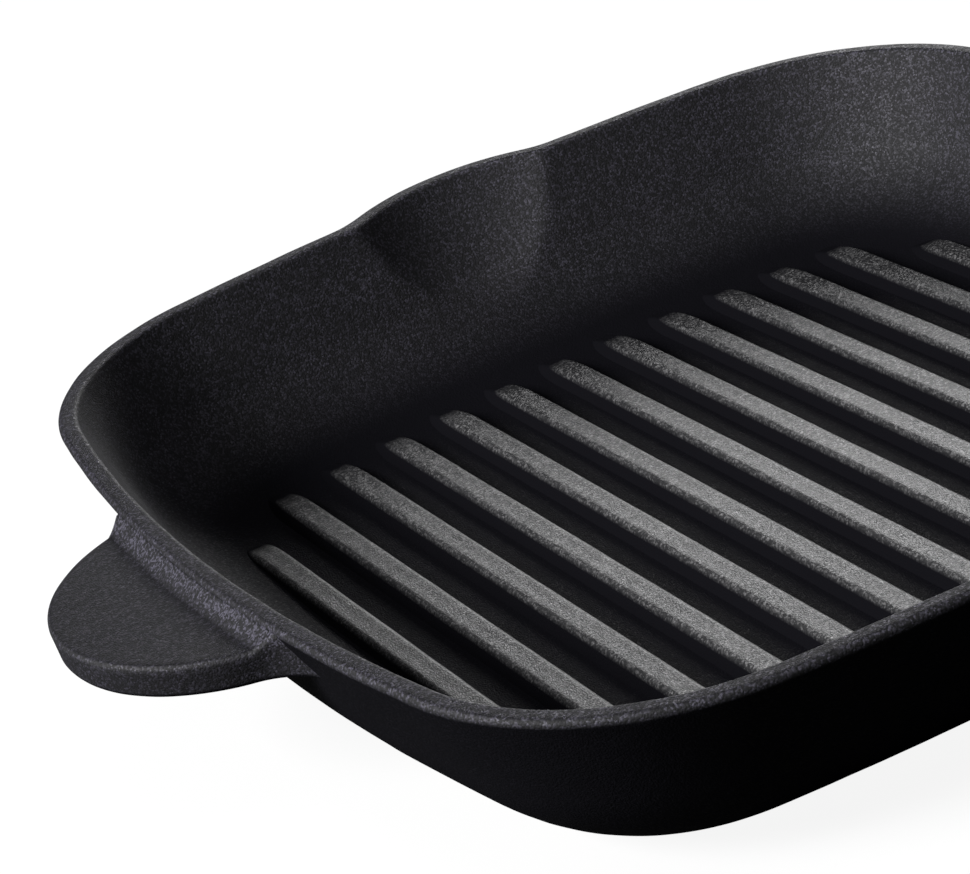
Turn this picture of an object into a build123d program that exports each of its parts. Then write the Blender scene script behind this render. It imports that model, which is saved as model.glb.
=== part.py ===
import os
from math import atan, cos, degrees, radians, sin, tan

from build123d import *

# Square cast-iron grill pan in millimetres, +Z up.
# The origin is the centre of the flat underside. X runs from the thumb tab at -X to the long
# handle at +X. Y runs along the grill ridges, towards the two pouring spouts.

# Rim and wall
rim_length = 261.0  # across X, between the middles of the sides
rim_width = 270.6  # across Y, between the middles of the sides
side_bow_x = 16.1  # how far the sides facing X stand out at their middles
side_bow_y = 12.3  # the same for the sides facing Y
corner_radius = 57.4
rim_height = 44.0
rim_thickness = 4.8
wall_lean = 22.6  # degrees from upright
base_radius = 22.6  # outer rounding between wall and underside
inner_radius = 18.0  # inner rounding between wall and floor
rim_rounding = 1.3

# Floor and ridges
floor_thickness = 4.5
ridge_height = 3.5
ridge_pitch = 15.3
ridge_count = 13
ridge_foot = 8.6
ridge_crest = 5.4
ridge_rounding = 1.3
ridge_overrun = 7.0  # beyond the flat of the floor, into the curve up to the wall
ridge_end_slope = 55.0  # degrees from upright

# Pouring spouts
spout_radius = 50.0  # in plan, at the rim
spout_reach = 8.0  # beyond the middle of the rim
spout_foot = 17.0  # height where the scoop runs out into the wall
spout_blend = 9.0  # outside, between spout and wall
scoop_blend = 3.0  # inside, between scoop and wall

# Thumb tab
tab_radius = 38.0
tab_reach = 27.2  # beyond the rim
tab_drop = 3.8  # from the rim's top to the tab's top
tab_thickness = 7.2
tab_blend = 16.0  # in plan, where the tab runs into the wall
tab_rounding = 1.2
tab_slant = 50.0  # degrees from upright, of the slope up to the rim

# Long handle
handle_reach = 150.0  # beyond the rim, along the handle
handle_rise = 8.0  # degrees
handle_root = 58.0
handle_waist = 23.0
handle_end = 34.0
handle_thickness = 10.0
handle_drop = 3.0  # from the rim's top to the handle's top, at the rim
handle_rounding = 3.2
waist_place = 50.0  # beyond the rim
hole_radius = 6.0
hole_edge = 0.8  # chamfer round the hanging hole
channel_depth = 3.2
channel_margin = 5.4  # metal left beside the channel, at the waist
channel_length = 84.0

half_length = rim_length / 2
half_width = rim_width / 2
lean = tan(radians(wall_lean))


def bow_radius(half_side, bow):
    """Radius of a side that bows outward over its half length."""
    return (half_side**2 + bow**2) / (2 * bow)


radius_x = bow_radius(half_width - side_bow_y, side_bow_x)
radius_y = bow_radius(half_length - side_bow_x, side_bow_y)


def draw_outline(sketch, inset):
    """Bowed square with round corners, drawn parallel to the rim's outer edge."""
    with Locations((half_length - radius_x, 0)):
        Circle(radius_x - inset)
    with Locations((radius_x - half_length, 0)):
        Circle(radius_x - inset, mode=Mode.INTERSECT)
    with Locations((0, half_width - radius_y)):
        Circle(radius_y - inset, mode=Mode.INTERSECT)
    with Locations((0, radius_y - half_width)):
        Circle(radius_y - inset, mode=Mode.INTERSECT)
    fillet(sketch.vertices(), corner_radius - inset)


def spout_seams(edges):
    """The U-shaped edges where the spouts' cones meet the leaning wall."""
    return edges.filter_by(
        lambda seam: abs(seam.center().X) < 1
        and seam.bounding_box().min.Z > spout_foot - 2
        and seam.bounding_box().size.Z > spout_drop / 2
    )


os.makedirs("parts", exist_ok=True)

rim_plane = Plane.XY.offset(rim_height)
spout_drop = rim_height - spout_foot
spout_lean = degrees(atan(spout_reach / spout_drop + lean))
spout_centre = half_width + spout_reach - spout_radius

# Outer form of the casting, still full
with BuildPart() as blank:
    with BuildSketch(rim_plane) as rim_sketch:
        draw_outline(rim_sketch, 0)
    extrude(amount=-rim_height, taper=wall_lean)
    fillet(blank.faces().sort_by(Axis.Z)[0].edges(), base_radius)
    with BuildSketch(rim_plane):
        with Locations((0, spout_centre), (0, -spout_centre)):
            Circle(spout_radius)
    extrude(amount=-spout_drop - 3, taper=spout_lean)
    fillet(spout_seams(blank.edges()), spout_blend)
    fillet(blank.faces().sort_by(Axis.Z)[-1].edges(), rim_rounding)

# Pan with leaning walls, a rounded floor corner and two scooped spouts
with BuildPart() as pan_body:
    add(blank.part)
    with BuildSketch(rim_plane) as cavity_sketch:
        draw_outline(cavity_sketch, rim_thickness)
    extrude(amount=floor_thickness - rim_height, taper=wall_lean, mode=Mode.SUBTRACT)
    floor_face = pan_body.faces().filter_by(Plane.XY).sort_by(Axis.Z)[1]
    fillet(floor_face.edges(), inner_radius)
    with BuildSketch(rim_plane):
        with Locations((0, spout_centre), (0, -spout_centre)):
            Circle(spout_radius - rim_thickness)
    extrude(amount=-spout_drop - 1, taper=spout_lean, mode=Mode.SUBTRACT)
    fillet(spout_seams(pan_body.edges(Select.LAST)), scoop_blend)
    rim_face = pan_body.faces().filter_by(Plane.XY).sort_by(Axis.Z)[-1]
    fillet(rim_face.inner_wires().edges(), rim_rounding)
pan_body.part.label = "pan_body"
export_step(pan_body.part, "parts/pan_body.step")

# Grill ridges, low bars with soft crests. They lie on the floor and run on into the curve
# that leads up to the wall, where their ends slope down and die away
inner_run = inner_radius * tan(radians(90 - wall_lean) / 2)
floor_inset = rim_thickness + (rim_height - floor_thickness) * lean + inner_run
ridge_side = degrees(atan(2 * ridge_height / (ridge_foot - ridge_crest)))
with BuildPart() as grill_ridges:
    with BuildSketch(Plane.XY.offset(floor_thickness)) as floor_sketch:
        draw_outline(floor_sketch, floor_inset - ridge_overrun)
    extrude(amount=ridge_height, taper=ridge_end_slope)
    with BuildSketch(Plane.XZ.offset(-half_width)) as ridge_sketch:
        with Locations((0, floor_thickness)):
            with GridLocations(ridge_pitch, 0, ridge_count, 1):
                Trapezoid(
                    ridge_foot, ridge_height, ridge_side, align=(Align.CENTER, Align.MIN)
                )
    extrude(amount=rim_width, mode=Mode.INTERSECT)
    crests = grill_ridges.faces().filter_by(Plane.XY).group_by(Axis.Z)[-1]
    fillet(crests.edges(), ridge_rounding)
    add(pan_body.part, mode=Mode.SUBTRACT)
grill_ridges.part.label = "grill_ridges"
export_step(grill_ridges.part, "parts/grill_ridges.step")

# Thumb tab, a solid half oval that runs into the wall with hollow curves in plan, and a slope
# that climbs from its top to the rim
tab_under = tab_drop + tab_thickness
with BuildPart() as tab_slope:
    with BuildSketch(Plane.XY.offset(rim_height - tab_under)) as tab_sketch:
        draw_outline(tab_sketch, tab_under * lean)
        with Locations((tab_radius - half_length - tab_reach, 0)):
            Circle(tab_radius)
        fillet(tab_sketch.vertices().sort_by(Axis.X)[:2], tab_blend)
        with Locations((-half_length, 0)):
            Rectangle(4 * tab_reach, 4 * tab_radius, mode=Mode.INTERSECT)
    extrude(amount=tab_under)
    with BuildSketch(Plane.XY.offset(rim_height - rim_rounding)) as crest_sketch:
        draw_outline(crest_sketch, rim_rounding / 2)
    extrude(amount=rim_rounding - tab_drop, taper=-tab_slant, mode=Mode.INTERSECT)

with BuildPart() as helper_tab:
    with BuildSketch(Plane.XY.offset(rim_height - tab_under)):
        add(tab_sketch.sketch)
    extrude(amount=tab_thickness)
    fillet(helper_tab.faces().filter_by(Plane.XY).edges().group_by(Axis.X)[0], tab_rounding)
    add(tab_slope.part)
    add(blank.part, mode=Mode.SUBTRACT)
helper_tab.part.label = "helper_tab"
export_step(helper_tab.part, "parts/helper_tab.step")

# Long handle, cast with the pan: it leaves the wall broad, narrows to a waist and ends in a
# round eye, with a shallow channel underneath
rise = radians(handle_rise)
handle_plane = Plane(
    origin=(half_length, 0, rim_height - handle_drop),
    x_dir=(cos(rise), 0, sin(rise)),
    z_dir=(-sin(rise), 0, cos(rise)),
)
eye_place = handle_reach - handle_end / 2
with BuildPart() as long_handle:
    with BuildSketch(handle_plane) as handle_sketch:
        with BuildLine():
            flare = ThreePointArc(
                (-handle_root / 4, handle_root / 2),
                (waist_place * 0.3, handle_waist / 2 + handle_root * 0.105),
                (waist_place, handle_waist / 2),
            )
            grip = TangentArc(flare @ 1, (eye_place, handle_end / 2), tangent=flare % 1)
            side = [flare, grip]
            mirror(side, about=Plane.XZ)
            CenterArc((eye_place, 0), handle_end / 2, -90, 180)
            Line((-handle_root / 4, handle_root / 2), (-handle_root / 4, -handle_root / 2))
        make_face()
    extrude(amount=-handle_thickness)
    brims = long_handle.faces().filter_by(handle_plane).edges()
    fillet(brims.sort_by(Axis.X)[2:], handle_rounding)
    with BuildSketch(handle_plane.offset(-handle_thickness)):
        with Locations((eye_place / 2, 0)):
            SlotOverall(channel_length, handle_waist - 2 * channel_margin)
    extrude(amount=channel_depth, mode=Mode.SUBTRACT)
    with BuildSketch(handle_plane):
        with Locations((eye_place, 0)):
            Circle(hole_radius)
    extrude(amount=-handle_thickness, mode=Mode.SUBTRACT)
    chamfer(long_handle.edges(Select.LAST).filter_by(GeomType.CIRCLE), hole_edge)
    add(blank.part, mode=Mode.SUBTRACT)
long_handle.part.label = "long_handle"
export_step(long_handle.part, "parts/long_handle.step")
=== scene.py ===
import math
import bmesh
import bpy
from mathutils import Matrix, Vector, noise


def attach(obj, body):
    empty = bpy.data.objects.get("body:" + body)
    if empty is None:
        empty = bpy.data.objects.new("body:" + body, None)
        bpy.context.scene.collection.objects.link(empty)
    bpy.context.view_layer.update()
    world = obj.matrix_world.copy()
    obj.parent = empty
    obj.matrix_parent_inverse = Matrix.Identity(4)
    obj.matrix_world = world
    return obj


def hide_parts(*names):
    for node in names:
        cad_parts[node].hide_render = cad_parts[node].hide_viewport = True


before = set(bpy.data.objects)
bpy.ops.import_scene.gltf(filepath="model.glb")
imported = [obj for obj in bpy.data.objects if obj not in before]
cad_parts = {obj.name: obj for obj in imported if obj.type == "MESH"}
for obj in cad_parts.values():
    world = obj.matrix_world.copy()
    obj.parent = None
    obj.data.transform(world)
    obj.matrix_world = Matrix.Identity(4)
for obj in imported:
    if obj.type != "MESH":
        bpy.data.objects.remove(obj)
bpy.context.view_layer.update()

mm = 0.001
root = "root"


def linkMesh(name, verts, faces):
    mesh = bpy.data.meshes.new(name)
    mesh.from_pydata([tuple(v) for v in verts], [], faces)
    mesh.update()
    obj = bpy.data.objects.new(name, mesh)
    bpy.context.scene.collection.objects.link(obj)
    b = bmesh.new()
    b.from_mesh(mesh)
    bmesh.ops.remove_doubles(b, verts=b.verts, dist=1e-6)
    bmesh.ops.recalc_face_normals(b, faces=b.faces)
    for f in b.faces:
        f.smooth = True
    b.to_mesh(mesh)
    b.free()
    return obj


# quads between rows of points, each row closed on itself
def bandFaces(rows, across):
    faces = []
    for j in range(rows - 1):
        for i in range(across):
            k = (i + 1) % across
            faces.append((j * across + i, j * across + k, (j + 1) * across + k, (j + 1) * across + i))
    return faces


# a solid bar from the rows of points along it
def linkBar(name, rows):
    across = len(rows[0])
    faces = bandFaces(len(rows), across)
    faces.append(tuple(range(across)))
    faces.append(tuple((len(rows) - 1) * across + i for i in range(across - 1, -1, -1)))
    return linkMesh(name, [v for row in rows for v in row], faces)


def finishPiece(obj, material, node):
    obj.data.materials.clear()
    obj.data.materials.append(material)
    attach(obj, root)
    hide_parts(node)


# the pan's form, in metres
pan = {
    "halfX": 130.5 * mm, "halfY": 135.3 * mm, "bowX": 16.1 * mm, "bowY": 12.3 * mm,
    "corner": 57.4 * mm, "height": 44.0 * mm, "wall": 4.8 * mm, "lean": math.radians(22.6),
    "baseRound": 36.0 * mm, "innerRound": 30.0 * mm, "rimRound": 1.3 * mm, "floor": 4.5 * mm,
    "spoutRadius": 50.0 * mm, "spoutReach": 7.4 * mm, "spoutFoot": 17.0 * mm,
    "scoopStraight": 0.72, "scoopCurl": 0.28, "outerBlend": 3.0 * mm, "innerBlend": 1.1 * mm,
    "fadeBelow": 8 * mm, "spoutHalf": 48 * mm, "spoutFrom": 80 * mm, "spoutEdge": 1 * mm,
}

# how many steps each stretch of the pan's mesh has
grid = {
    "side": 56, "corner": 36, "round": 14, "outerWall": 22, "outerLip": 8, "rimTop": 4,
    "innerLip": 7, "innerWall": 34, "caps": 10,
}


# points and outward normals round the rim's outer edge, from the middle of +X
def outline(perSide, perCorner):
    a, b, sx, sy, rc = pan["halfX"], pan["halfY"], pan["bowX"], pan["bowY"], pan["corner"]
    rx = ((b - sy) ** 2 + sx ** 2) / (2 * sx)
    ry = ((a - sx) ** 2 + sy ** 2) / (2 * sy)
    cx, cy = Vector((a - rx, 0)), Vector((0, b - ry))
    r1, r2 = ry - rc, rx - rc
    d = cx - cy
    t = (r1 * r1 - r2 * r2 + d.length_squared) / (2 * d.length)
    h = math.sqrt(r1 * r1 - t * t)
    u = d.normalized()
    candidates = [cy + u * t + Vector((-u.y, u.x)) * h * s for s in (1, -1)]
    cc = max(candidates, key=lambda c: c.x + c.y)
    a1 = math.atan2(cc.y - cx.y, cc.x - cx.x)
    a2 = math.atan2(cc.y - cy.y, cc.x - cy.x)
    arcs = (
        (cx, rx, 0, a1, perSide),
        (cc, rc, a1, a2, perCorner),
        (cy, ry, a2, math.pi / 2, perSide),
    )
    quarter = []
    for c, r, s, e, n in arcs:
        for i in range(n):
            w = s + (e - s) * i / n
            quarter.append((c.x + r * math.cos(w), c.y + r * math.sin(w), math.cos(w), math.sin(w)))
    quarter.append((0, b, 0, 1))
    ring = list(quarter)
    ring += [(-x, y, -nx, ny) for x, y, nx, ny in quarter[-2::-1]]
    ring += [(-x, -y, -nx, -ny) for x, y, nx, ny in quarter[1:]]
    ring += [(x, -y, nx, -ny) for x, y, nx, ny in quarter[-2:0:-1]]
    return ring


def softMax(a, b, k):
    h = max(k - abs(a - b), 0) / k
    return max(a, b) + h * h * k / 4


def spoutRadiusAt(z):
    q = max(0.0, (pan["height"] - z) / (pan["height"] - pan["spoutFoot"]))
    drop = pan["spoutReach"] + (pan["height"] - pan["spoutFoot"]) * math.tan(pan["lean"])
    return pan["spoutRadius"] - drop * (pan["scoopStraight"] * q + pan["scoopCurl"] * q ** 3)


# a point of the wall at this inset and height, pushed out where a spout is
def place(p, inset, z):
    x, y, nx, ny = p
    x, y = x - inset * nx, y - inset * ny
    depth = inset - (pan["height"] - z) * math.tan(pan["lean"])
    high = z > pan["spoutFoot"] - pan["fadeBelow"]
    if high and abs(x) < pan["spoutHalf"] and abs(y) > pan["spoutFrom"]:
        r = spoutRadiusAt(z) - depth
        if r > abs(x) + pan["spoutEdge"]:
            cy = pan["halfY"] + pan["spoutReach"] - pan["spoutRadius"]
            reach = cy + math.sqrt(r * r - x * x)
            share = min(1, max(0, depth / pan["wall"]))
            k = pan["outerBlend"] + (pan["innerBlend"] - pan["outerBlend"]) * share
            y = math.copysign(softMax(abs(y), reach, k), y)
    return Vector((x, y, z))


# inset and height pairs from the edge of the underside, over the rim, to the floor's edge
def wallProfile():
    h, t, lean = pan["height"], math.tan(pan["lean"]), pan["lean"]
    wall, r, rb = pan["wall"], pan["rimRound"], pan["baseRound"]
    ri, f = pan["innerRound"], pan["floor"]
    out = []
    foot = h * t + rb * math.tan((math.pi / 2 - lean) / 2)
    for i in range(grid["round"] + 1):
        w = (math.pi / 2 - lean) * i / grid["round"]
        out.append((foot - rb * math.sin(w), rb * (1 - math.cos(w))))
    zTop = rb * (1 - math.sin(lean))
    zRim = h - r - r * math.sin(lean)
    for i in range(1, grid["outerWall"]):
        z = zTop + (zRim - zTop) * i / grid["outerWall"]
        out.append(((h - z) * t, z))
    c = r * (1 + math.sin(lean)) / math.cos(lean)
    for i in range(grid["outerLip"] + 1):
        w = -lean + (math.pi / 2 + lean) * i / grid["outerLip"]
        out.append((c - r * math.cos(w), h - r + r * math.sin(w)))
    c2 = wall - r * (1 - math.sin(lean)) / math.cos(lean)
    for i in range(1, grid["rimTop"]):
        out.append((c + (c2 - c) * i / grid["rimTop"], h))
    for i in range(grid["innerLip"] + 1):
        w = math.pi / 2 + (math.pi / 2 - lean) * i / grid["innerLip"]
        out.append((c2 - r * math.cos(w), h - r + r * math.sin(w)))
    zLow = f + ri * (1 - math.sin(lean))
    zHigh = h - r + r * math.sin(lean)
    for i in range(1, grid["innerWall"]):
        z = zHigh + (zLow - zHigh) * i / grid["innerWall"]
        out.append((wall + (h - z) * t, z))
    foot = wall + (h - f) * t + ri * math.tan((math.pi / 2 - lean) / 2)
    for i in range(grid["round"] + 1):
        w = (math.pi / 2 - lean) * (1 - i / grid["round"])
        out.append((foot - ri * math.sin(w), f + ri * (1 - math.cos(w))))
    return out


def buildBody():
    ring = outline(grid["side"], grid["corner"])
    profile = wallProfile()
    n = len(ring)
    verts = [place(p, inset, z) for inset, z in profile for p in ring]
    faces = bandFaces(len(profile), n)

    def cap(first, z):
        prev = first
        for s in range(1, grid["caps"]):
            share = 1 - s / grid["caps"]
            start = len(verts)
            for i in range(n):
                v = verts[first + i]
                verts.append(Vector((v.x * share, v.y * share, z)))
            for i in range(n):
                k = (i + 1) % n
                faces.append((prev + i, prev + k, start + k, start + i))
            prev = start
        centre = len(verts)
        verts.append(Vector((0, 0, z)))
        for i in range(n):
            faces.append((prev + i, prev + (i + 1) % n, centre))

    cap(0, 0.0)
    cap((len(profile) - 1) * n, pan["floor"])
    return linkMesh("castBody", verts, faces)


body = buildBody()
print("stage: body", len(body.data.polygons))

# thumb tab on the -X side; the insets are measured from the rim's outer edge
tab = {
    "radius": 38.0 * mm, "reach": 27.2 * mm, "top": 40.2 * mm, "under": 33.0 * mm,
    "blend": 16.0 * mm, "blendInset": 4.2 * mm, "edge": 1.2 * mm, "draft": 0.5 * mm,
    "slopeRun": 3.9 * mm, "slopeTop": 43.0 * mm, "slopeCurl": 1.25,
    "rimInset": 0.65 * mm, "rootInset": 3.4 * mm, "underInset": 7.5 * mm,
    "blendSteps": 21, "tipSteps": 60, "flatSteps": 12, "slopeSteps": 10, "edgeSteps": 6,
    "sideSteps": 5, "underSteps": 6,
}


# X of the -X side of the rim's outline, moved in by the inset
def sideX(y, inset):
    a, b, sx, sy = pan["halfX"], pan["halfY"], pan["bowX"], pan["bowY"]
    r = ((b - sy) ** 2 + sx ** 2) / (2 * sx)
    return -(a - r + math.sqrt((r - inset) ** 2 - y * y))


# plan points and outward normals from the blend at +Y, round the tip, to the blend at -Y
def tabEdge():
    cx, r, rb = -(pan["halfX"] + tab["reach"] - tab["radius"]), tab["radius"], tab["blend"]
    inset = tab["blendInset"]
    lo, hi = 20 * mm, 60 * mm
    for _ in range(50):
        y = (lo + hi) / 2
        if math.hypot(sideX(y, inset) - rb - cx, y) < r + rb:
            lo = y
        else:
            hi = y
    bx, by = sideX(y, inset) - rb, y
    away = math.atan2(by, bx - cx)
    points = []
    for i in range(tab["blendSteps"] + 1):
        w = (away - math.pi) * i / tab["blendSteps"]
        points.append((bx + rb * math.cos(w), by + rb * math.sin(w), -math.cos(w), -math.sin(w)))
    for i in range(1, tab["tipSteps"]):
        w = away + (math.pi - away) * i / tab["tipSteps"]
        points.append((cx + r * math.cos(w), r * math.sin(w), math.cos(w), math.sin(w)))
    mirrored = [(x, -y, nx, -ny) for x, y, nx, ny in points[::-1]]
    return points + [(cx - r, 0, -1, 0)] + mirrored


# a point this far back from the tab's edge
def backFrom(edgePoint, back, z):
    x, y, nx, ny = edgePoint
    return (x - nx * back, y - ny * back, z)


def buildTab():
    e, top, under, run = tab["edge"], tab["top"], tab["under"], tab["slopeRun"]
    rows = []
    for p in tabEdge():
        rimX, rootX = sideX(p[1], tab["rimInset"]), sideX(p[1], tab["rootInset"])
        startX, startY, _ = backFrom(p, e, top)
        startX = min(startX, rootX)
        flat = max(rimX - startX - run, 0)
        stops = [startX + flat * i / tab["flatSteps"] for i in range(tab["flatSteps"])]
        for i in range(tab["slopeSteps"] + 1):
            stops.append(max(startX, rimX - run * (1 - i / tab["slopeSteps"])))
        stops.append(rootX)
        row = []
        for stop in reversed(stops):
            rise = max(0.0, min(1.0, 1 - (rimX - stop) / run)) ** tab["slopeCurl"]
            row.append((stop, startY, top + (tab["slopeTop"] - top) * rise))
        brim = row[-1][2]
        for i in range(1, tab["edgeSteps"]):
            w = math.pi / 2 * (1 - i / tab["edgeSteps"])
            row.append(backFrom(p, e * (1 - math.cos(w)), brim - e * (1 - math.sin(w))))
        for i in range(tab["sideSteps"] + 1):
            share = i / tab["sideSteps"]
            row.append(backFrom(p, tab["draft"] * share, brim - e - (brim - under - 2 * e) * share))
        for i in range(1, tab["edgeSteps"] + 1):
            w = math.pi / 2 * i / tab["edgeSteps"]
            row.append(backFrom(p, tab["draft"] + e * (1 - math.cos(w)), under + e * (1 - math.sin(w))))
        lastX, lastY, _ = row[-1]
        inX = max(sideX(p[1], tab["underInset"]), lastX)
        for i in range(1, tab["underSteps"] + 1):
            row.append((lastX + (inX - lastX) * i / tab["underSteps"], lastY, under))
        rows.append(row)
    return linkBar("thumbTab", rows)


thumbTab = buildTab()
print("stage: tab", len(thumbTab.data.polygons))

# grill ridges; hollow holds the crest's dip at shares of its half width
ridge = {
    "count": 13, "pitch": 15.3 * mm, "foot": 8.6 * mm, "crest": 5.4 * mm, "height": 3.5 * mm,
    "round": 1.3 * mm, "hollow": ((0.6, 0.02 * mm), (0.25, 0.05 * mm)), "sunk": 0.4 * mm,
    "endInset": 33.2 * mm, "endRun": 20.0 * mm, "endRise": 0.75, "endWidth": 0.62, "widening": 1.4,
    "heightSpread": 0.004, "seed": 7, "searchWidth": 1.2 * mm, "outlineSteps": 60,
    "flankSteps": 5, "roundSteps": 7, "endSteps": 14, "longSteps": 60,
}


def ridgeSection():
    f, c, h, r = ridge["foot"] / 2, ridge["crest"] / 2, ridge["height"], ridge["round"]
    side = math.atan2(h, f - c)
    cx, cz = c - r / math.tan((math.pi - side) / 2), h - r
    topX, topZ = cx + r * math.sin(side), cz + r * math.cos(side)
    section = [(f + ridge["sunk"] * (f - c) / h, -ridge["sunk"]), (f, 0)]
    for i in range(1, ridge["flankSteps"]):
        share = i / ridge["flankSteps"]
        section.append((f + (topX - f) * share, topZ * share))
    for i in range(ridge["roundSteps"] + 1):
        w = (math.pi / 2 - side) + side * i / ridge["roundSteps"]
        section.append((cx + r * math.cos(w), cz + r * math.sin(w)))
    section += [(cx * share, h - dip) for share, dip in ridge["hollow"]]
    return section + [(-x, z) for x, z in reversed(section)]


# one bar along Y, low and narrow at its ends
def ridgeBar(halfLength):
    section = ridgeSection()
    ends, run, steps = ridge["endSteps"], ridge["endRun"], ridge["longSteps"]
    stations = [(-halfLength + run * (i / ends), i / ends) for i in range(ends + 1)]
    inner = halfLength - run
    stations += [(-inner + 2 * inner * i / steps, 1.0) for i in range(1, steps)]
    stations += [(-y, s) for y, s in stations[ends::-1]]
    narrow = ridge["endWidth"]
    rows = []
    for y, s in stations:
        up = math.sin(math.pi / 2 * s) ** ridge["endRise"]
        wide = narrow + (1 - narrow) * math.sin(math.pi / 2 * min(1, s * ridge["widening"]))
        rows.append([(x * wide, y, (z * up if z > 0 else z) + pan["floor"]) for x, z in section])
    return linkBar("ridgeBar", rows)


# how far along Y the ridges' end line reaches at this X
def reachAt(x):
    inset, best = ridge["endInset"], 0
    for px, py, nx, ny in outline(ridge["outlineSteps"], ridge["outlineSteps"]):
        if py > 0:
            qx, qy = px - inset * nx, py - inset * ny
            if abs(qx - abs(x)) < ridge["searchWidth"]:
                best = max(best, qy)
    return best


# a bar on each point, stretched along Y by the point's own value
def ridgeTree():
    tree = bpy.data.node_groups.new("ridgeRow", "GeometryNodeTree")
    face = tree.interface
    face.new_socket("Geometry", in_out="INPUT", socket_type="NodeSocketGeometry")
    face.new_socket("Bar", in_out="INPUT", socket_type="NodeSocketObject")
    face.new_socket("Height Spread", in_out="INPUT", socket_type="NodeSocketFloat")
    face.new_socket("Seed", in_out="INPUT", socket_type="NodeSocketInt")
    face.new_socket("Finish", in_out="INPUT", socket_type="NodeSocketMaterial")
    face.new_socket("Geometry", in_out="OUTPUT", socket_type="NodeSocketGeometry")
    add = tree.nodes.new
    link = tree.links.new
    given, result = add("NodeGroupInput"), add("NodeGroupOutput")
    info = add("GeometryNodeObjectInfo")
    inst = add("GeometryNodeInstanceOnPoints")
    named = add("GeometryNodeInputNamedAttribute")
    named.data_type = "FLOAT"
    named.inputs["Name"].default_value = "stretch"
    spread = add("FunctionNodeRandomValue")
    low = add("ShaderNodeMath")
    low.operation = "SUBTRACT"
    low.inputs[0].default_value = 1.0
    scale = add("ShaderNodeCombineXYZ")
    scale.inputs["X"].default_value = 1.0
    real = add("GeometryNodeRealizeInstances")
    paint = add("GeometryNodeSetMaterial")
    link(given.outputs["Bar"], info.inputs["Object"])
    link(given.outputs["Geometry"], inst.inputs["Points"])
    link(info.outputs["Geometry"], inst.inputs["Instance"])
    link(given.outputs["Height Spread"], low.inputs[1])
    link(low.outputs[0], spread.inputs[2])
    spread.inputs[3].default_value = 1.0
    link(given.outputs["Seed"], spread.inputs["Seed"])
    link(named.outputs["Attribute"], scale.inputs["Y"])
    link(spread.outputs[1], scale.inputs["Z"])
    link(scale.outputs[0], inst.inputs["Scale"])
    link(inst.outputs["Instances"], real.inputs["Geometry"])
    link(real.outputs["Geometry"], paint.inputs["Geometry"])
    link(given.outputs["Finish"], paint.inputs["Material"])
    link(paint.outputs["Geometry"], result.inputs["Geometry"])
    return tree


def buildRidges(material):
    full = reachAt(0)
    bar = ridgeBar(full)
    middle = (ridge["count"] - 1) / 2
    places = [(i - middle) * ridge["pitch"] for i in range(ridge["count"])]
    mesh = bpy.data.meshes.new("ridgePlaces")
    mesh.from_pydata([(x, 0, 0) for x in places], [], [])
    mesh.update()
    stretch = mesh.attributes.new("stretch", "FLOAT", "POINT")
    for i, x in enumerate(places):
        stretch.data[i].value = reachAt(x) / full
    holder = bpy.data.objects.new("grillRidges", mesh)
    bpy.context.scene.collection.objects.link(holder)
    mod = holder.modifiers.new("ridges", "NODES")
    mod.node_group = ridgeTree()
    wanted = {
        "Bar": bar, "Height Spread": ridge["heightSpread"], "Seed": ridge["seed"], "Finish": material,
    }
    for item in mod.node_group.interface.items_tree:
        if item.in_out == "INPUT" and item.name in wanted:
            mod[item.identifier] = wanted[item.name]
    bpy.context.view_layer.update()
    shown = holder.evaluated_get(bpy.context.evaluated_depsgraph_get())
    made = bpy.data.meshes.new_from_object(shown)
    holder.modifiers.remove(mod)
    holder.data = made
    for f in made.polygons:
        f.use_smooth = True
    bpy.data.objects.remove(bar)
    return holder


# slow waviness of the cast skin, calm near the underside
wave = {
    "size": 14 * mm, "finer": 2.1, "finerShare": 0.5, "calmBelow": 2 * mm,
    "body": 0.10 * mm, "tab": 0.08 * mm, "ridges": 0.06 * mm,
}


def roughen(obj, amount):
    verts = obj.data.vertices
    normals = [v.normal.copy() for v in verts]
    moved = []
    for v, n in zip(verts, normals):
        p = v.co / wave["size"]
        lift = noise.noise(p) + wave["finerShare"] * noise.noise(p * wave["finer"])
        calm = min(1.0, max(0.0, v.co.z / wave["calmBelow"]))
        moved += list(v.co + n * (lift * amount * calm))
    verts.foreach_set("co", moved)
    obj.data.update()


# seasoned cast iron: colours, texture scales per metre and bump
iron = {
    "base": (0.0035, 0.0034, 0.0046), "wallSpeck": (0.054, 0.051, 0.070),
    # the two crest colours are painted light: the lit ridge tops, specks and all
    "litCrestBase": (0.010, 0.010, 0.011), "litCrestSpeck": (0.165, 0.163, 0.166),
    "grain": 2300.0, "coarse": 420.0, "speck": 2300.0, "cloud": 60.0, "speckPower": 1.6,
    "fineShare": 0.9, "pebbleShare": 0.5, "coarseShare": 0.5,
    "bumpDistance": 0.18 * mm, "bumpStrength": 0.65, "ior": 1.38,
}

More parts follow.
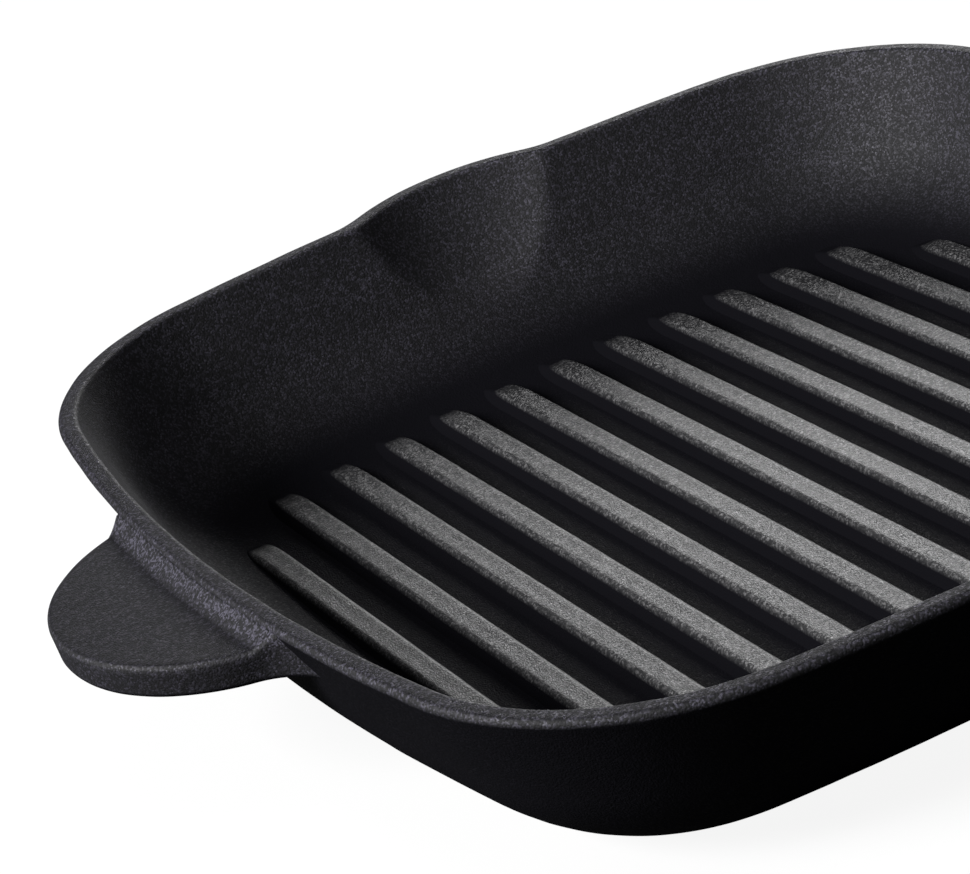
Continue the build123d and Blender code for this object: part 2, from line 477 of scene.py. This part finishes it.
# how one value leads to another: from, to, result at from, result at to
ranges = {
    "pebble": (0.0, 0.7, 1.0, 0.0),
    "chance": (0.35, 1.0, 0.0, 1.0),
    "patch": (0.36, 0.64, 0.25, 1.0),
    "clouds": (0.35, 0.65, 0.75, 1.15),
    # painted shade on down-facing skin
    "paintedShadeBelow": (-0.34, -0.05, 0.06, 1.0),
    # painted shade on up-facing flat tops
    "paintedShadeOnTops": (0.80, 0.97, 1.0, 0.5),
    # painted shade low on the pan
    "shadedFloor": (6.5 * mm, 22.0 * mm, 0.03, 1.0),
    # painted light on the ridge crests, painted shade on the flanks below them
    "crestPaintedLight": (6.7 * mm, 7.9 * mm, 0.0, 1.0),
    # painted highlight on the rim's top edge
    "rimPaintedHighlight": (43.0 * mm, 44.1 * mm, 1.0, 1.9),
    # painted highlight on the tab's slope
    "tabPaintedHighlight": (40.4 * mm, 41.6 * mm, 1.0, 3.2),
    "crestRough": (0.0, 1.0, 0.8, 0.5),
    "wallRough": (0.0, 1.0, 0.72, 0.45),
    # specular level follows the painted light and shade
    "shine": (0.0, 1.0, 0.03, 0.5),
    "floorForCamera": (0.0, 1.0, 0.04, 0.8),
    "skyForCamera": (0.0, 1.0, 0.03, 1.0),
}


def noiseNode(tree, vector, scale, detail, rough):
    n = tree.nodes.new("ShaderNodeTexNoise")
    n.inputs["Scale"].default_value = scale
    n.inputs["Detail"].default_value = detail
    n.inputs["Roughness"].default_value = rough
    tree.links.new(vector, n.inputs["Vector"])
    return n.outputs["Fac"]


def mathNode(tree, op, a, b, clamp=False):
    n = tree.nodes.new("ShaderNodeMath")
    n.operation = op
    n.use_clamp = clamp
    for i, v in enumerate((a, b)):
        if isinstance(v, (int, float)):
            n.inputs[i].default_value = v
        else:
            tree.links.new(v, n.inputs[i])
    return n.outputs[0]


def mapRange(tree, value, name):
    n = tree.nodes.new("ShaderNodeMapRange")
    tree.links.new(value, n.inputs["Value"])
    for socket, v in zip(("From Min", "From Max", "To Min", "To Max"), ranges[name]):
        n.inputs[socket].default_value = v
    return n.outputs["Result"]


def mixColour(tree, share, a, b):
    n = tree.nodes.new("ShaderNodeMix")
    n.data_type = "RGBA"
    tree.links.new(share, n.inputs["Factor"])
    for socket, v in ((n.inputs[6], a), (n.inputs[7], b)):
        if isinstance(v, tuple):
            socket.default_value = (*v, 1)
        else:
            tree.links.new(v, socket)
    return n.outputs[2]


def upPart(tree, vector):
    n = tree.nodes.new("ShaderNodeSeparateXYZ")
    tree.links.new(vector, n.inputs["Vector"])
    return n.outputs["Z"]


# sand-cast skin: height of the pebbles, a mask of the tiny bright specks and slow clouds
def castGrain():
    tree = bpy.data.node_groups.new("castGrain", "ShaderNodeTree")
    tree.interface.new_socket("Vector", in_out="INPUT", socket_type="NodeSocketVector")
    for label in ("Height", "Speck", "Cloud"):
        tree.interface.new_socket(label, in_out="OUTPUT", socket_type="NodeSocketFloat")
    v = tree.nodes.new("NodeGroupInput").outputs["Vector"]
    result = tree.nodes.new("NodeGroupOutput")
    fine = noiseNode(tree, v, iron["grain"], 3.0, 0.6)
    coarse = noiseNode(tree, v, iron["coarse"], 2.0, 0.5)
    cloud = noiseNode(tree, v, iron["cloud"], 4.0, 0.6)
    cells = tree.nodes.new("ShaderNodeTexVoronoi")
    cells.inputs["Scale"].default_value = iron["speck"]
    tree.links.new(v, cells.inputs["Vector"])
    chance = tree.nodes.new("ShaderNodeSeparateColor")
    tree.links.new(cells.outputs["Color"], chance.inputs["Color"])
    pebble = mapRange(tree, cells.outputs["Distance"], "pebble")
    height = mathNode(tree, "MULTIPLY", fine, iron["fineShare"])
    height = mathNode(tree, "ADD", height, mathNode(tree, "MULTIPLY", pebble, iron["pebbleShare"]))
    height = mathNode(tree, "ADD", height, mathNode(tree, "MULTIPLY", coarse, iron["coarseShare"]))
    lucky = mathNode(tree, "POWER", mapRange(tree, chance.outputs["Red"], "chance"), iron["speckPower"])
    speck = mathNode(tree, "MULTIPLY", lucky, mapRange(tree, fine, "patch"), clamp=True)
    tree.links.new(height, result.inputs["Height"])
    tree.links.new(speck, result.inputs["Speck"])
    tree.links.new(cloud, result.inputs["Cloud"])
    return tree


grainTree = castGrain()


# with crest set, painted light brightens the ridge tops and painted shade darkens their flanks;
# otherwise painted shade darkens the skin on the floor and below, on down-facing skin and on flat tops,
# and a painted highlight brightens it over the heights that edge names
def ironMaterial(name, edge=None, crest=False):
    mat = bpy.data.materials.new(name)
    mat.use_nodes = True
    tree = mat.node_tree
    shader = tree.nodes["Principled BSDF"]
    coords = tree.nodes.new("ShaderNodeTexCoord").outputs["Object"]
    grain = tree.nodes.new("ShaderNodeGroup")
    grain.node_tree = grainTree
    tree.links.new(coords, grain.inputs["Vector"])
    height, speck = upPart(tree, coords), grain.outputs["Speck"]
    if crest:
        # painted light on the crests, painted shade on the flanks and the floor between the ridges
        lit = mapRange(tree, height, "crestPaintedLight")
        crestLit = mixColour(tree, speck, iron["litCrestBase"], iron["litCrestSpeck"])
        colour = mixColour(tree, lit, iron["base"], crestLit)
        rough = mapRange(tree, lit, "crestRough")
    else:
        facing = upPart(tree, tree.nodes.new("ShaderNodeNewGeometry").outputs["Normal"])
        # painted shade: low on the pan, on down-facing skin and on flat tops
        lit = mapRange(tree, height, "shadedFloor")
        for effect in ("paintedShadeBelow", "paintedShadeOnTops"):
            lit = mathNode(tree, "MULTIPLY", lit, mapRange(tree, facing, effect))
        amount = mathNode(tree, "MULTIPLY", speck, lit)
        # painted highlight over the rim's top edge or the tab's slope
        if edge:
            amount = mathNode(tree, "MULTIPLY", amount, mapRange(tree, height, edge))
        amount = mathNode(tree, "MULTIPLY", amount, mapRange(tree, grain.outputs["Cloud"], "clouds"))
        colour = mixColour(tree, amount, iron["base"], iron["wallSpeck"])
        rough = mapRange(tree, speck, "wallRough")
    bump = tree.nodes.new("ShaderNodeBump")
    bump.inputs["Strength"].default_value = iron["bumpStrength"]
    bump.inputs["Distance"].default_value = iron["bumpDistance"]
    tree.links.new(grain.outputs["Height"], bump.inputs["Height"])
    tree.links.new(colour, shader.inputs["Base Color"])
    tree.links.new(rough, shader.inputs["Roughness"])
    # the specular level follows the painted light and shade mask
    tree.links.new(mapRange(tree, lit, "shine"), shader.inputs["Specular IOR Level"])
    tree.links.new(bump.outputs["Normal"], shader.inputs["Normal"])
    shader.inputs["Metallic"].default_value = 0.0
    shader.inputs["IOR"].default_value = iron["ior"]
    return mat


# painted highlights on the rim's top edge and on the tab's slope; painted light and shade on the ridges
castIron = ironMaterial("castIron", edge="rimPaintedHighlight")
tabIron = ironMaterial("tabIron", edge="tabPaintedHighlight")
ridgeIron = ironMaterial("ridgeIron", crest=True)
finishPiece(body, castIron, "pan_body")
finishPiece(thumbTab, tabIron, "helper_tab")
ridges = buildRidges(ridgeIron)
finishPiece(ridges, ridgeIron, "grill_ridges")
for piece, amount in ((body, wave["body"]), (thumbTab, wave["tab"]), (ridges, wave["ridges"])):
    roughen(piece, amount)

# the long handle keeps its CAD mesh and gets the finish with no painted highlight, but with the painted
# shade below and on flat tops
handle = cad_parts["long_handle"]
handle.data.materials.clear()
handle.data.materials.append(ironMaterial("handleIron"))
print("stage: pieces done")

# pale floor, which glows for the camera and is dark for every other ray
studio = {"half": 6, "rough": 0.9, "glow": 1.0, "glowShare": 0.9}


def buildFloor():
    s = studio["half"]
    floor = linkMesh("studioFloor", [(-s, -s, 0), (s, -s, 0), (s, s, 0), (-s, s, 0)], [(0, 1, 2, 3)])
    mat = bpy.data.materials.new("paleFloor")
    mat.use_nodes = True
    tree = mat.node_tree
    shader = tree.nodes["Principled BSDF"]
    seen = tree.nodes.new("ShaderNodeLightPath").outputs["Is Camera Ray"]
    glow = tree.nodes.new("ShaderNodeEmission")
    mix = tree.nodes.new("ShaderNodeMixShader")
    shader.inputs["Roughness"].default_value = studio["rough"]
    glow.inputs["Strength"].default_value = studio["glow"]
    tree.links.new(mapRange(tree, seen, "floorForCamera"), shader.inputs["Base Color"])
    tree.links.new(mathNode(tree, "MULTIPLY", seen, studio["glowShare"]), mix.inputs["Fac"])
    tree.links.new(shader.outputs["BSDF"], mix.inputs[1])
    tree.links.new(glow.outputs["Emission"], mix.inputs[2])
    tree.links.new(mix.outputs["Shader"], tree.nodes["Material Output"].inputs["Surface"])
    floor.data.materials.append(mat)
    return floor


def lightWorld():
    world = bpy.context.scene.world or bpy.data.worlds.new("studio")
    bpy.context.scene.world = world
    world.use_nodes = True
    tree = world.node_tree
    back = tree.nodes["Background"]
    back.inputs["Color"].default_value = (1, 1, 1, 1)
    seen = tree.nodes.new("ShaderNodeLightPath").outputs["Is Camera Ray"]
    tree.links.new(mapRange(tree, seen, "skyForCamera"), back.inputs["Strength"])


# soft lights: place, aim, size in metres and power in watts
lamps = {
    "keySoftbox": ((-1.18, 0.04, 0.76), (0, 0, 0.02), 0.46, 36.0),
    "backSoftbox": ((0.80, 1.18, 0.60), (0.03, 0, 0.01), 0.5, 14.0),
    "topSoftbox": ((0.0, -0.35, 1.40), (0, 0, 0.02), 0.8, 7.5),
}


def areaLight(name, spot, aim, size, power):
    data = bpy.data.lights.new(name, "AREA")
    data.energy = power
    data.size = size
    lamp = bpy.data.objects.new(name, data)
    bpy.context.scene.collection.objects.link(lamp)
    lamp.location = spot
    lamp.rotation_euler = (Vector(aim) - Vector(spot)).to_track_quat("-Z", "Y").to_euler()


buildFloor()
lightWorld()
for name, settings in lamps.items():
    areaLight(name, *settings)
bpy.context.scene.view_settings.view_transform = "Standard"
print("stage: studio")

# camera read off the photograph's own perspective: focal length and centre in pixels, turn from +Y
# and dip below the horizon, and the pan's origin in the camera's own right, down and forward axes
eye = {
    "focal": 3225.167, "centre": (512.034, 458.946), "turn": math.radians(23.075),
    "dip": math.radians(24.842), "roll": math.radians(-14.498),
    "origin": Vector((0.056935, 0.009210, 0.686840)), "sensor": 36.0, "nearest": 0.01,
    "width": 970, "height": 874,
}


def placeCamera():
    turn, dip, roll, width = eye["turn"], eye["dip"], eye["roll"], eye["width"]
    forward = Vector((math.sin(turn) * math.cos(dip), math.cos(turn) * math.cos(dip), -math.sin(dip)))
    level = Vector((math.cos(turn), -math.sin(turn), 0))
    plumb = level.cross(forward)
    right = level * math.cos(roll) + plumb * math.sin(roll)
    up = plumb * math.cos(roll) - level * math.sin(roll)
    spot = -(right * eye["origin"].x - up * eye["origin"].y + forward * eye["origin"].z)
    data = bpy.data.cameras.new("photoCamera")
    camera = bpy.data.objects.new("photoCamera", data)
    bpy.context.scene.collection.objects.link(camera)
    camera.matrix_world = Matrix((
        (right.x, up.x, -forward.x, spot.x), (right.y, up.y, -forward.y, spot.y),
        (right.z, up.z, -forward.z, spot.z), (0, 0, 0, 1)))
    data.sensor_width = eye["sensor"]
    data.lens = eye["focal"] * eye["sensor"] / width
    data.shift_x = (width / 2 - eye["centre"][0]) / width
    data.shift_y = (eye["centre"][1] - eye["height"] / 2) / width
    data.clip_start = eye["nearest"]
    bpy.context.scene.camera = camera


placeCamera()
